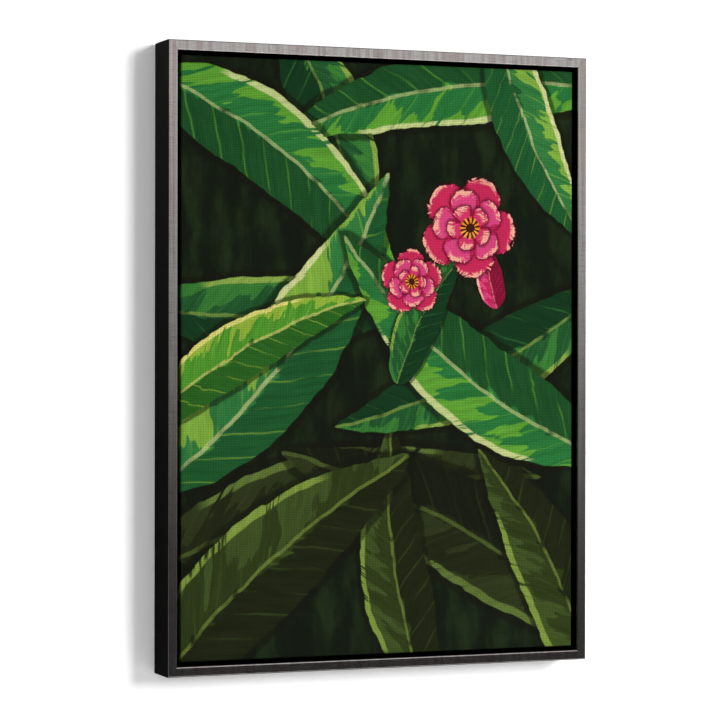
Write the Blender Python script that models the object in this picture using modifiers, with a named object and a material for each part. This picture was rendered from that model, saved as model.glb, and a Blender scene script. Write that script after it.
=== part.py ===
"""A stretched canvas picture in a floater frame, with its bars, fixings and hanger.

The picture hangs on the wall nail that its sawtooth hanger catches, and that point is
the origin. X runs to the right, Y from the front towards the wall, and Z up. Every piece
is laid out from the middle of the frame's front face, with Y as the depth behind that
face, and the empty named picture carries them all so that the hanger meets the origin.
"""

import math

import bmesh
import bpy
from mathutils import Matrix, Vector

MM = 0.001
CLEARANCE = 0.3 * MM  # between a piece and what it is fixed to or seated on

# The canvas and the floater frame around it
CANVAS_WIDTH = 500 * MM
CANVAS_HEIGHT = 700 * MM
CANVAS_THICKNESS = 0.6 * MM
CANVAS_EDGE_RADIUS = 3.4 * MM
CANVAS_RETURN = 24 * MM  # the strip folded onto the back of the bars
CANVAS_RECESS = 4.5 * MM  # the cloth lies this far behind the frame's face
FLOAT_GAP = 5 * MM  # the open shadow line all round the canvas

FACE_WIDTH = 11.5 * MM
FRAME_WIDTH = CANVAS_WIDTH + 2 * (FLOAT_GAP + FACE_WIDTH)
FRAME_HEIGHT = CANVAS_HEIGHT + 2 * (FLOAT_GAP + FACE_WIDTH)
FRAME_DEPTH = 52 * MM
FOOT_WIDTH = 28 * MM  # from the outer side, under the bars
FOOT_THICKNESS = 8 * MM
FACE_OUTER_RADIUS = 1.3 * MM
FACE_INNER_RADIUS = 1.1 * MM
ARRIS_RADIUS = 0.6 * MM
MITRE_GAP = 0.2 * MM

# The bars that the cloth is stretched over
BAR_INSET = CANVAS_THICKNESS + CLEARANCE  # from the cloth's outer face to the bars
BAR_FRONT = CANVAS_RECESS + BAR_INSET
BAR_BACK = FRAME_DEPTH - FOOT_THICKNESS - CANVAS_THICKNESS - 2 * CLEARANCE
BAR_DEPTH = BAR_BACK - BAR_FRONT
BAR_WIDTH = 28 * MM
BAR_LIP = 6 * MM  # the raised outer strip that alone touches the cloth
BAR_FALL = 3 * MM  # how far the front falls away behind the cloth
BRACE_WIDTH = 32 * MM
BRACE_DEPTH = 18 * MM
BRACE_EDGE = 0.8 * MM

# Countersunk screws through the foot into the bars
SCREW_INSET = 22.5 * MM  # from the frame's outer side
SCREW_HEAD_RADIUS = 3.5 * MM
SCREW_SHANK_RADIUS = 1.75 * MM
SCREW_LENGTH = 24 * MM
SCREW_POINT = 4 * MM
SCREW_RIM = 0.4 * MM
RECESS_LENGTH = 3.6 * MM
RECESS_WIDTH = 0.9 * MM
RECESS_DEPTH = 1.4 * MM

# Bent nails that pull each mitre together, one in the wall and one in the foot
CORNER_NAIL_LEG = 6 * MM
CORNER_NAIL_THICKNESS = 0.8 * MM
CORNER_NAILS = {"wall": (3.6 * MM, 10 * MM), "foot": (17 * MM, 6 * MM)}  # inset, depth

# The sawtooth hanger on the top rail, its two nails, and the two bumpers below
HANGER_INSET = 14 * MM  # from the frame's top to the plate's middle
HANGER_WIDTH = 45 * MM
HANGER_HEIGHT = 10 * MM
HANGER_THICKNESS = 1 * MM
HANGER_BRIDGE = 29 * MM
HANGER_STANDOFF = 1.5 * MM
TOOTH_PITCH = 2.6 * MM
TOOTH_DEPTH = 2.2 * MM
TOOTH_COUNT = 9
TOOTH_TIP = 0.15 * MM  # the notches start this far below the edge, which blunts the teeth
TEETH_CUT = 9 * MM  # through the strip and its stand-off
NAIL_SPREAD = 18.4 * MM
NAIL_HEAD_RADIUS = 2.2 * MM
NAIL_HEAD_HEIGHT = 0.9 * MM
NAIL_HEAD_ROUNDING = 0.5 * MM
NAIL_SHANK_RADIUS = 0.7 * MM
NAIL_LENGTH = 6.5 * MM
NAIL_POINT = 1.4 * MM
BUMPER_RADIUS = 5.5 * MM
BUMPER_HEIGHT = 2.7 * MM
BUMPER_ROUNDING = 0.9 * MM
BUMPER_TAPER = 0.5 * MM
BUMPER_INSET = Vector((40 * MM, 0, 14 * MM))  # from the frame's bottom corner

HANGING_POINT = Vector(
    (
        0,
        FRAME_DEPTH + CLEARANCE + HANGER_STANDOFF + HANGER_THICKNESS / 2,
        FRAME_HEIGHT / 2 - HANGER_INSET - HANGER_HEIGHT / 2 + TOOTH_DEPTH,
    )
)

ARC_STEPS = 3
TURN_STEPS = 20
WELD_DISTANCE = 0.01 * MM
ALONG_X = Matrix(((0, 0, 1, 0), (1, 0, 0, 0), (0, 1, 0, 0), (0, 0, 0, 1)))
ALONG_Y = Matrix.Rotation(math.radians(-90), 4, "X")  # an axis along +Z turned to +Y
UPRIGHT = Matrix.Rotation(math.radians(90), 4, "X")  # a flat outline stood up to face Y
SIDES = {"top": 0, "right": 90, "bottom": 180, "left": 270}  # turn about Y, degrees
CORNERS = {"top_right": 0, "bottom_right": 90, "bottom_left": 180, "top_left": 270}


def clear_scene():
    """Removes what the scene holds."""
    for thing in list(bpy.data.objects):
        bpy.data.objects.remove(thing, do_unlink=True)


def new_collection(name):
    """A collection of that name under the scene's own."""
    made = bpy.data.collections.new(name)
    bpy.context.scene.collection.children.link(made)
    return made


def finish(name, colour, metallic, roughness):
    """A plain surface of one colour."""
    made = bpy.data.materials.new(name)
    made.use_nodes = True
    surface = made.node_tree.nodes["Principled BSDF"]
    surface.inputs["Base Color"].default_value = (*colour, 1)
    surface.inputs["Metallic"].default_value = metallic
    surface.inputs["Roughness"].default_value = roughness
    return made


def turned(degrees):
    """The turn about Y that takes a top piece to its own side."""
    return Matrix.Rotation(math.radians(degrees), 4, "Y")


def half_extent(degrees, width, height):
    """Half the size, towards the side at this turn, of a thing so wide and high."""
    return (height if degrees % 180 == 0 else width) / 2


# ---------------------------------------------------------------- outlines and meshes


def rounded_outline(corners):
    """The points of a closed outline whose corners are (x, y, radius)."""
    points = []
    for index, (x, y, radius) in enumerate(corners):
        corner = Vector((x, y))
        if not radius:
            points.append(corner)
            continue
        before = (Vector(corners[index - 1][:2]) - corner).normalized()
        after = (Vector(corners[(index + 1) % len(corners)][:2]) - corner).normalized()
        half = before.angle(after) / 2
        centre = corner + (before + after).normalized() * (radius / math.sin(half))
        start = corner + before * (radius / math.tan(half)) - centre
        end = corner + after * (radius / math.tan(half)) - centre
        first = math.atan2(start.y, start.x)
        sweep = (math.atan2(end.y, end.x) - first + math.pi) % math.tau - math.pi
        for step in range(ARC_STEPS + 1):
            angle = first + sweep * step / ARC_STEPS
            points.append(centre + radius * Vector((math.cos(angle), math.sin(angle))))
    return points


def prism(name, outline, length, place):
    """A mesh of a flat outline drawn out to a length, then moved by a matrix."""
    curve = bpy.data.curves.new(name, "CURVE")
    curve.dimensions = "2D"
    curve.fill_mode = "BOTH"
    curve.extrude = length / 2
    spline = curve.splines.new("POLY")
    spline.points.add(len(outline) - 1)
    for point, (x, y) in zip(spline.points, outline):
        point.co = (x, y, 0, 1)
    spline.use_cyclic_u = True
    holder = bpy.data.objects.new(name, curve)
    bpy.context.scene.collection.objects.link(holder)
    depsgraph = bpy.context.evaluated_depsgraph_get()
    mesh = bpy.data.meshes.new_from_object(holder.evaluated_get(depsgraph))
    bpy.data.objects.remove(holder)
    bpy.data.curves.remove(curve)
    shape = bmesh.new()
    shape.from_mesh(mesh)
    bmesh.ops.remove_doubles(shape, verts=shape.verts, dist=WELD_DISTANCE)
    bmesh.ops.transform(shape, matrix=place, verts=shape.verts)
    bmesh.ops.recalc_face_normals(shape, faces=shape.faces)
    shape.to_mesh(mesh)
    shape.free()
    mesh.name = name
    return mesh


def mitred_rail(name, section, length):
    """A rail along X, its outer side at Z = 0, with ends cut at 45 degrees.

    The section's corners are (depth behind the front, inset from the outer side, radius).
    """
    outline = rounded_outline([(depth, -inset, radius) for depth, inset, radius in section])
    mesh = prism(name, outline, length, ALONG_X)
    play = MITRE_GAP / math.sqrt(2)
    for vertex in mesh.vertices:
        end = length / 2 + vertex.co.z - play
        vertex.co.x = math.copysign(end, vertex.co.x)
    return mesh


def profile_mesh(name, profile):
    """The edges of a turned shape's profile, as (radius, height) from top to bottom."""
    mesh = bpy.data.meshes.new(name)
    points = [(radius, 0, height) for radius, height in profile]
    mesh.from_pydata(points, [(i, i + 1) for i in range(len(points) - 1)], [])
    return mesh


def box_mesh(name, size):
    """A box of this size about its own middle."""
    mesh = bpy.data.meshes.new(name)
    shape = bmesh.new()
    bmesh.ops.create_cube(shape, size=1, matrix=Matrix.Diagonal((*size, 1)))
    shape.to_mesh(mesh)
    shape.free()
    return mesh


# ------------------------------------------------------------------------- the picture


class Picture:
    """Places pieces and cutters under one empty, and cuts the one with the other."""

    def __init__(self):
        self.pieces = new_collection("floater_framed_canvas")
        self.cutters = new_collection("cutters")
        self.carrier = bpy.data.objects.new("picture", None)
        self.carrier.location = -HANGING_POINT
        self.pieces.objects.link(self.carrier)

    def place(self, name, mesh, matrix, collection):
        """An object of this mesh at a place in the picture."""
        made = bpy.data.objects.new(name, mesh)
        collection.objects.link(made)
        made.parent = self.carrier
        made.matrix_basis = matrix
        return made

    def piece(self, name, mesh, matrix, material):
        """A piece of the picture."""
        made = self.place(name, mesh, matrix, self.pieces)
        if not mesh.materials:
            mesh.materials.append(material)
        return made

    def cutter(self, name, mesh, matrix):
        """A shape that only cuts others."""
        made = self.place(name, mesh, matrix, self.cutters)
        made.hide_render = True
        made.display_type = "WIRE"
        return made


def carve(piece, cutter):
    """Cuts the cutter's shape out of the piece."""
    cut = piece.modifiers.new(cutter.name, "BOOLEAN")
    cut.operation = "DIFFERENCE"
    cut.solver = "EXACT"
    cut.object = cutter


def turn_profile(piece):
    """Turns the piece's profile about Z into a round solid."""
    turn = piece.modifiers.new("turn", "SCREW")
    turn.steps = turn.render_steps = TURN_STEPS
    turn.use_merge_vertices = True
    turn.merge_threshold = WELD_DISTANCE
    turn.use_smooth_shade = True
    return piece


def frame_rails(picture, material):
    """The four mitred rails of L section: a narrow face with a foot behind."""
    shelf = FRAME_DEPTH - FOOT_THICKNESS
    section = [
        (0, 0, FACE_OUTER_RADIUS),
        (0, FACE_WIDTH, FACE_INNER_RADIUS),
        (shelf, FACE_WIDTH, 0),
        (shelf, FOOT_WIDTH, ARRIS_RADIUS),
        (FRAME_DEPTH, FOOT_WIDTH, ARRIS_RADIUS),
        (FRAME_DEPTH, 0, ARRIS_RADIUS),
    ]
    rails = {}
    for side, turn in SIDES.items():
        length = 2 * half_extent(turn + 90, FRAME_WIDTH, FRAME_HEIGHT)
        name = f"frame_rail_{side}"
        out = half_extent(turn, FRAME_WIDTH, FRAME_HEIGHT)
        place = turned(turn) @ Matrix.Translation((0, 0, out))
        rails[side] = picture.piece(name, mitred_rail(name, section, length), place, material)
    return rails


def stretcher_bars(picture, material):
    """The four mitred bars, which touch the cloth only along a raised rounded lip."""
    radius = CANVAS_EDGE_RADIUS - BAR_INSET
    section = [
        (0, 0, radius),
        (0, BAR_LIP, ARRIS_RADIUS),
        (BAR_FALL, BAR_WIDTH, ARRIS_RADIUS),
        (BAR_DEPTH, BAR_WIDTH, ARRIS_RADIUS),
        (BAR_DEPTH, 0, 0),
    ]
    width = CANVAS_WIDTH - 2 * BAR_INSET
    height = CANVAS_HEIGHT - 2 * BAR_INSET
    bars = {}
    for side, turn in SIDES.items():
        name = f"stretcher_bar_{side}"
        length = 2 * half_extent(turn + 90, width, height)
        out = half_extent(turn, width, height)
        place = turned(turn) @ Matrix.Translation((0, BAR_FRONT, out))
        bars[side] = picture.piece(name, mitred_rail(name, section, length), place, material)
    return bars


def cross_brace(picture, material):
    """The flat bar across the middle that keeps the long bars from bowing inwards."""
    length = CANVAS_WIDTH - 2 * (BAR_INSET + BAR_WIDTH + CLEARANCE)
    mesh = box_mesh("cross_brace", (length, BRACE_DEPTH, BRACE_WIDTH))
    place = Matrix.Translation((0, BAR_BACK - BRACE_DEPTH / 2, 0))
    brace = picture.piece("cross_brace", mesh, place, material)
    edge = brace.modifiers.new("arris", "BEVEL")
    edge.width = BRACE_EDGE
    edge.segments = 2


def canvas_cloth(picture, material):
    """The stretched cloth: front, rounded edge, sides and the strip on the bars' back."""
    depth = BAR_BACK + BAR_INSET - CANVAS_RECESS
    shape = bmesh.new()
    size = Matrix.Diagonal((CANVAS_WIDTH, depth, CANVAS_HEIGHT, 1))
    bmesh.ops.create_cube(shape, size=1, matrix=size)
    back = [face for face in shape.faces if face.normal.y > 0.5]
    bmesh.ops.inset_region(shape, faces=back, thickness=CANVAS_RETURN, use_even_offset=True)
    bmesh.ops.delete(shape, geom=back, context="FACES")
    front = [e for e in shape.edges if all(v.co.y < 0 for v in e.verts)]
    bmesh.ops.bevel(
        shape,
        geom=front,
        offset=CANVAS_EDGE_RADIUS,
        segments=ARC_STEPS,
        profile=0.5,
        affect="EDGES",
    )
    mesh = bpy.data.meshes.new("canvas")
    shape.to_mesh(mesh)
    shape.free()
    place = Matrix.Translation((0, CANVAS_RECESS + depth / 2, 0))
    cloth = picture.piece("canvas", mesh, place, material)
    skin = cloth.modifiers.new("cloth", "SOLIDIFY")
    skin.thickness = CANVAS_THICKNESS
    skin.offset = -1
    skin.use_even_offset = True
    return cloth


def screw_profile(grow=0.0):
    """A countersunk screw's profile from its flat head down to its point."""
    head = SCREW_HEAD_RADIUS + grow
    shank = SCREW_SHANK_RADIUS + grow
    end = -SCREW_LENGTH - grow
    return [
        (0, 2 * grow),
        (head, 2 * grow),
        (head, -SCREW_RIM),
        (shank, -SCREW_RIM - (head - shank)),
        (shank, end + SCREW_POINT),
        (0, end),
    ]


def frame_screws(picture, rails, bars, cloth, material):
    """Two screws in each side, through the foot and the cloth into the bar."""
    screw = profile_mesh("frame_screw", screw_profile())
    hole = profile_mesh("screw_hole", screw_profile(CLEARANCE))
    slot = box_mesh("recess", (RECESS_LENGTH, RECESS_WIDTH, 2 * RECESS_DEPTH))
    for side, turn in SIDES.items():
        span = half_extent(turn + 90, FRAME_WIDTH, FRAME_HEIGHT)
        out = half_extent(turn, FRAME_WIDTH, FRAME_HEIGHT) - SCREW_INSET
        for number, along in enumerate((-span / 2, span / 2), start=1):
            spot = turned(turn) @ Vector((along, FRAME_DEPTH - CLEARANCE, out))
            place = Matrix.Translation(spot) @ ALONG_Y
            name = f"frame_screw_{side}_{number}"
            made = turn_profile(picture.piece(name, screw, place, material))
            cut = turn_profile(picture.cutter(f"hole_{side}_{number}", hole, place))
            for piece in (rails[side], bars[side], cloth):
                carve(piece, cut)
            for arm, quarter in (("a", 0), ("b", 90)):
                across = place @ Matrix.Rotation(math.radians(45 + quarter), 4, "Z")
                carve(made, picture.cutter(f"recess_{side}_{number}_{arm}", slot, across))


def corner_nail_outline(grow=0.0):
    """The bent strip of a corner nail, its two legs running from the origin."""
    near, far = -CORNER_NAIL_THICKNESS - grow, -CORNER_NAIL_LEG - grow
    return [(grow, grow), (far, grow), (far, near), (near, near), (near, far), (grow, far)]


def corner_nails(picture, rails, material):
    """Two bent nails across each mitre, driven in flush from the back."""
    outline, grown = corner_nail_outline(), corner_nail_outline(CLEARANCE)
    for kind, (inset, depth) in CORNER_NAILS.items():
        slot_depth = depth + 3 * CLEARANCE
        nail = prism(f"corner_nail_{kind}", outline, depth, UPRIGHT)
        slot = prism(f"nail_slot_{kind}", grown, slot_depth, UPRIGHT)
        nail_y = FRAME_DEPTH - CLEARANCE - depth / 2
        slot_y = FRAME_DEPTH + CLEARANCE - slot_depth / 2
        for corner, turn in CORNERS.items():
            level, side = corner.split("_")
            x = math.copysign(FRAME_WIDTH / 2 - inset, (side == "right") - 0.5)
            z = math.copysign(FRAME_HEIGHT / 2 - inset, (level == "top") - 0.5)
            place = Matrix.Translation((x, nail_y, z)) @ turned(turn)
            picture.piece(f"corner_nail_{kind}_{corner}", nail, place, material)
            place = Matrix.Translation((x, slot_y, z)) @ turned(turn)
            cut = picture.cutter(f"slot_{kind}_{corner}", slot, place)
            carve(rails[level], cut)
            carve(rails[side], cut)


def mirrored(points):
    """The points in the other order and on the other side of X = 0."""
    return [(-x, y) for x, y in reversed(points)]


def bridge_outline():
    """The hanger's strip from above: flat ends and a middle that stands off."""
    end, bridge = HANGER_WIDTH / 2, HANGER_BRIDGE / 2
    rise, thick = HANGER_STANDOFF, HANGER_THICKNESS
    lean = thick * math.tan(math.pi / 8)  # the outer face's share of a 45 degree bend
    under = [(-end, 0), (-bridge, 0), (rise - bridge, rise)]
    over = [(rise - bridge - lean, rise + thick), (-bridge - lean, thick), (-end, thick)]
    return under + mirrored(under) + mirrored(over) + over


def teeth_outline():
    """The saw edge: a row of notches that open downwards, one in the middle."""
    half = TOOTH_COUNT * TOOTH_PITCH / 2
    edge = -HANGER_HEIGHT / 2
    root, tip = edge + TOOTH_DEPTH, edge - TOOTH_TIP
    points = [(half, edge - TOOTH_DEPTH), (-half, edge - TOOTH_DEPTH), (-half, tip)]
    for tooth in range(TOOTH_COUNT):
        middle = -half + (tooth + 0.5) * TOOTH_PITCH
        points.append((middle, root))
        points.append((middle + TOOTH_PITCH / 2, tip))
    return points


def nail_profile(grow=0.0):
    """A flat-headed nail from the top of its head to its point."""
    shank = NAIL_SHANK_RADIUS + grow
    corners = [
        (0, NAIL_HEAD_HEIGHT, 0),
        (NAIL_HEAD_RADIUS, NAIL_HEAD_HEIGHT, NAIL_HEAD_ROUNDING),
        (NAIL_HEAD_RADIUS, 0, 0),
        (shank, 0, 0),
        (shank, NAIL_POINT - NAIL_LENGTH, 0),
        (0, -NAIL_LENGTH - grow, 0),
    ]
    return rounded_outline(corners)


def hanger(picture, top_rail, material):
    """The sawtooth hanger and its two nails, on the back of the top rail."""
    back = FRAME_DEPTH + CLEARANCE
    centre = Vector((0, back, FRAME_HEIGHT / 2 - HANGER_INSET))
    plate = prism("sawtooth_hanger", bridge_outline(), HANGER_HEIGHT, Matrix.Identity(4))
    plate_piece = picture.piece("sawtooth_hanger", plate, Matrix.Translation(centre), material)
    teeth = prism("teeth", teeth_outline(), TEETH_CUT, UPRIGHT)
    carve(plate_piece, picture.cutter("teeth", teeth, Matrix.Translation(centre)))
    nail = profile_mesh("hanger_nail", nail_profile())
    hole = profile_mesh("nail_hole", nail_profile(CLEARANCE))
    for side, way in (("left", -1), ("right", 1)):
        head = centre + Vector((way * NAIL_SPREAD, HANGER_THICKNESS + CLEARANCE, 0))
        place = Matrix.Translation(head) @ ALONG_Y
        turn_profile(picture.piece(f"hanger_nail_{side}", nail, place, material))
        cut = turn_profile(picture.cutter(f"nail_hole_{side}", hole, place))
        carve(plate_piece, cut)
        carve(top_rail, cut)


def bumpers(picture, material):
    """The two soft pads that keep the bottom of the picture off the wall."""
    top = (BUMPER_RADIUS - BUMPER_TAPER, BUMPER_HEIGHT, BUMPER_ROUNDING)
    corners = [(0, BUMPER_HEIGHT, 0), top, (BUMPER_RADIUS, 0, 0), (0, 0, 0)]
    mesh = profile_mesh("bumper", rounded_outline(corners))
    for side, way in (("left", -1), ("right", 1)):
        x = way * (FRAME_WIDTH / 2 - BUMPER_INSET.x)
        z = BUMPER_INSET.z - FRAME_HEIGHT / 2
        place = Matrix.Translation((x, FRAME_DEPTH + CLEARANCE, z)) @ ALONG_Y
        turn_profile(picture.piece(f"bumper_{side}", mesh, place, material))


def main():
    """Builds the whole picture."""
    clear_scene()
    picture = Picture()
    moulding = finish("gunmetal_moulding", (0.17, 0.155, 0.145), 0.6, 0.4)
    pine = finish("pine", (0.62, 0.42, 0.22), 0.0, 0.6)
    cloth = finish("printed_canvas", (0.03, 0.12, 0.04), 0.0, 0.85)
    zinc = finish("zinc_plated_steel", (0.6, 0.6, 0.58), 1.0, 0.35)
    steel = finish("bright_steel", (0.5, 0.5, 0.5), 1.0, 0.45)
    rubber = finish("clear_rubber", (0.75, 0.75, 0.72), 0.0, 0.5)

    rails = frame_rails(picture, moulding)
    bars = stretcher_bars(picture, pine)
    cross_brace(picture, pine)
    canvas = canvas_cloth(picture, cloth)
    frame_screws(picture, rails, bars, canvas, zinc)
    corner_nails(picture, rails, steel)
    hanger(picture, rails["top"], zinc)
    bumpers(picture, rubber)


main()
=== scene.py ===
"""The looks of a floater-framed canvas picture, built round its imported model.

The frame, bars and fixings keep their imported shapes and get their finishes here. The
cloth and the staples that hold it are modelled here. Lengths are in metres unless a
name ends in _mm, and patterns are laid out in millimetres.
"""

import logging
import math
from dataclasses import dataclass, field
from enum import Enum

import bmesh
import bpy
from mathutils import Matrix, Vector


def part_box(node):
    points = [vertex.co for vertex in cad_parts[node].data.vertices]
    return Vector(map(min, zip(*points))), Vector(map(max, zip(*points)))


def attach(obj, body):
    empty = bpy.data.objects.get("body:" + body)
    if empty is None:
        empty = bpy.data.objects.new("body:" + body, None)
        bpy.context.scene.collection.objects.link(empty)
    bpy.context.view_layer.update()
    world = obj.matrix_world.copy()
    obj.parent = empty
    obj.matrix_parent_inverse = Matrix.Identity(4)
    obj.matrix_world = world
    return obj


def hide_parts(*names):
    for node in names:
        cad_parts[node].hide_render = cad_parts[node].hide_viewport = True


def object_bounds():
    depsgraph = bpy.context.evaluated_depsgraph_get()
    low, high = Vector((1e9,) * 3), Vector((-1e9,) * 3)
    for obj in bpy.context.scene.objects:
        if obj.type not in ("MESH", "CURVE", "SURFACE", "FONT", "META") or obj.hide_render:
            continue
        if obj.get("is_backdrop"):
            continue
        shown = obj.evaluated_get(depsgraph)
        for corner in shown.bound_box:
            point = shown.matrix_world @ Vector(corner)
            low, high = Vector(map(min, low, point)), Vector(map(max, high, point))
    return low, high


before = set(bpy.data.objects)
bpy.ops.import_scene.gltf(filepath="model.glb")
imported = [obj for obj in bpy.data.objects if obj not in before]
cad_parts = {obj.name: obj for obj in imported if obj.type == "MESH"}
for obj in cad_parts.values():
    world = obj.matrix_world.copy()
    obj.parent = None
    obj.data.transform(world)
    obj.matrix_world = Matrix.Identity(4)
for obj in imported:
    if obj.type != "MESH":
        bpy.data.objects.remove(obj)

LOG = logging.getLogger("picture")
MM = 0.001
BODY = "root"
SIDES = ("top", "right", "bottom", "left")

Socket = bpy.types.NodeSocket

# Settings that many nodes share
SMOOTH = {"interpolation_type": "SMOOTHSTEP"}
COLOUR = {"data_type": "RGBA"}
NUMBER = {"data_type": "FLOAT"}
TINTED = {"data_type": "RGBA", "blend_type": "MULTIPLY"}
TIMES = {"operation": "MULTIPLY"}
TIMES_PLUS = {"operation": "MULTIPLY_ADD"}
PLUS = {"operation": "ADD"}
MINUS = {"operation": "SUBTRACT"}
SIZE = {"operation": "ABSOLUTE"}
LARGER = {"operation": "MAXIMUM"}


def srgb(hex_code: str) -> tuple[float, float, float, float]:
    """Turns an sRGB hex colour to linear.

    Args:
        hex_code: The colour as "#RRGGBB".

    Returns:
        Red, green, blue and an alpha of 1.
    """
    values = [int(hex_code[i : i + 2], 16) / 255 for i in (1, 3, 5)]
    linear = [v / 12.92 if v <= 0.04045 else ((v + 0.055) / 1.055) ** 2.4 for v in values]
    return (*linear, 1.0)


class Wiring:
    """A node tree while it is being wired."""

    def __init__(self, tree: bpy.types.NodeTree) -> None:
        """Starts wiring a tree."""
        self.tree = tree

    def add(self, kind: str, *inputs: object, out: int = 0, **settings: object) -> Socket | None:
        """Adds one node with its settings and links.

        Args:
            kind: The node's type without "ShaderNode".
            inputs: What the node's enabled inputs get, in order: a socket to link, a
                value to set, or None to leave the default.
            out: Which of the enabled outputs to return.
            settings: The node's own settings. One named after an input, with spaces
                as underscores, links or sets that input.

        Returns:
            The output socket, or None where the node has no output.
        """
        node = self.tree.nodes.new("ShaderNode" + kind)
        for key, value in settings.items():
            if hasattr(node, key):
                setattr(node, key, value)
        enabled = [s for s in node.inputs if s.enabled]
        names = {s.name.replace(" ", "_"): s for s in enabled}
        named = [(names[key], value) for key, value in settings.items() if key in names]
        for socket, value in [*zip(enabled, inputs), *named]:
            if isinstance(value, Socket):
                self.tree.links.new(value, socket)
            elif value is not None:
                socket.default_value = value
        outputs = [s for s in node.outputs if s.enabled]
        return outputs[out] if outputs else None


class Surface(Wiring):
    """A material while it is being wired."""

    def __init__(self, name: str) -> None:
        """Starts a material of that name, with no nodes."""
        self.material = bpy.data.materials.new(name)
        self.material.use_nodes = True
        super().__init__(self.material.node_tree)
        self.tree.nodes.clear()

    def place_mm(self) -> Socket:
        """The object's own coordinates, in millimetres."""
        here = self.add("TexCoord").node.outputs["Object"]
        return self.add("VectorMath", here, operation="SCALE", Scale=1 / MM)

    def cloth_mm(self) -> Socket:
        """A place on the flat cloth, in millimetres."""
        flat = self.add("UVMap", uv_map=CLOTH_UV)
        return self.add("VectorMath", flat, operation="SCALE", Scale=1 / MM)

    def done(self, shader: Socket) -> bpy.types.Material:
        """Ends the material in that shader."""
        self.add("OutputMaterial", shader)
        return self.material


# ------------------------------------------------------------ finishes of the hard parts


@dataclass(frozen=True)
class GunmetalMoulding:
    """Black-lacquered wood moulding with a brushed gunmetal foil on its narrow face.

    The foil was brushed upright before it was pressed on, so fine streaks run up and
    down on all four rails. It wraps to a thin line of lacquer along the outer arris.
    """

    centre: Vector
    half_width: float
    half_height: float
    front: float
    foil: str = "#B9B6B4"
    blush: str = "#ABA19E"
    groove: str = "#746E6B"
    lacquer: str = "#030303"
    streak_mm: float = 6.6
    hair_mm: float = 0.8  # drawn coarser than real brushing, which is too fine to show
    cloud_mm: float = 40
    upright: tuple = (1, 1, 0.018)  # draws a pattern out along Z
    level: tuple = (0.05, 1, 1)  # draws a pattern out along X
    foil_depth_mm: tuple = (1.0, 1.3)  # how far the foil turns over the arris
    lacquer_line_mm: tuple = (0.6, 1.15)

    def make(self) -> bpy.types.Material:
        """Builds the material: a satin metal that mirrors the room in a soft blur."""
        s = Surface("gunmetal_foil_on_black_lacquer")
        here = s.place_mm()
        fine, metal = self.brushing(s, here)
        foil = self.foil_share(s, here)
        colour = s.add("Mix", foil, srgb(self.lacquer), metal, **COLOUR)
        satin = s.add("MapRange", fine, 0.3, 0.8, 0.17, 0.23)
        rough = s.add("Mix", foil, 0.85, satin, **NUMBER)
        scratches = s.add("Bump", 0.12, 0.00004, None, fine)
        metallic = s.add("Mix", foil, 0.0, 1.0, **NUMBER)
        sideways = s.add("CombineXYZ", 1.0, 0.0, 0.0)  # light spreads across the brushing
        return s.done(s.add(
            "BsdfPrincipled", Base_Color=colour, Metallic=metallic, Roughness=rough,
            Normal=scratches, Specular_IOR_Level=0.01, Anisotropic=0.9, Tangent=sideways,
        ))

    def brushing(self, s: Surface, here: Socket) -> tuple[Socket, Socket]:
        """The brushed streaks.

        Args:
            s: The material.
            here: The place, in millimetres.

        Returns:
            The hair-fine streaks from 0 to 1, and the metal's colour.
        """
        lines = s.add("VectorMath", here, self.upright, **TIMES)
        broad = s.add("TexNoise", lines, 1 / self.streak_mm, 2.0, 0.6)
        fine = s.add("TexNoise", lines, 1 / self.hair_mm, 3.0, 0.7)
        across = s.add("VectorMath", here, self.level, **TIMES)
        linen = s.add("TexNoise", across, 1 / self.hair_mm, 2.0, 0.7)
        cloud = s.add("TexNoise", here, 1 / self.cloud_mm, 2.0, 0.5)
        warm = s.add("MapRange", broad, 0.42, 0.62, **SMOOTH)
        tint = s.add("Mix", warm, srgb(self.foil), srgb(self.blush), **COLOUR)
        deep = s.add("MapRange", fine, 0.5, 0.8, **SMOOTH)
        worn = s.add("Mix", deep, tint, srgb(self.groove), **COLOUR)
        crossed = s.add("Math", s.add("MapRange", linen, 0.48, 0.72, **SMOOTH), 0.55, **TIMES)
        hatched = s.add("Mix", crossed, worn, srgb(self.groove), **COLOUR)
        polished = s.add("MapRange", cloud, 0.3, 0.9, **SMOOTH)
        return fine, s.add("Mix", polished, hatched, tint, **COLOUR)

    def foil_share(self, s: Surface, here: Socket) -> Socket:
        """Where the foil lies: 1 on the narrow face, 0 on the lacquer."""
        moved = s.add("VectorMath", here, self.centre / MM, **MINUS)
        east, _, up = s.add("SeparateXYZ", moved).node.outputs
        _, back, _ = s.add("SeparateXYZ", here).node.outputs
        from_side = s.add("Math", self.half_width / MM, s.add("Math", east, **SIZE), **MINUS)
        from_top = s.add("Math", self.half_height / MM, s.add("Math", up, **SIZE), **MINUS)
        inset = s.add("Math", from_side, from_top, operation="MINIMUM")
        depth = s.add("Math", back, self.front / MM, **MINUS)
        on_face = s.add("MapRange", depth, *self.foil_depth_mm, 1.0, 0.0, **SMOOTH)
        off_arris = s.add("MapRange", inset, *self.lacquer_line_mm, **SMOOTH)
        return s.add("Math", on_face, off_arris, **TIMES)


class Grain(Enum):
    """Which way a bar's grain runs, as how its pattern is drawn out."""

    LEVEL = (0.03, 1, 1)
    UPRIGHT = (1, 1, 0.03)


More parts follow.
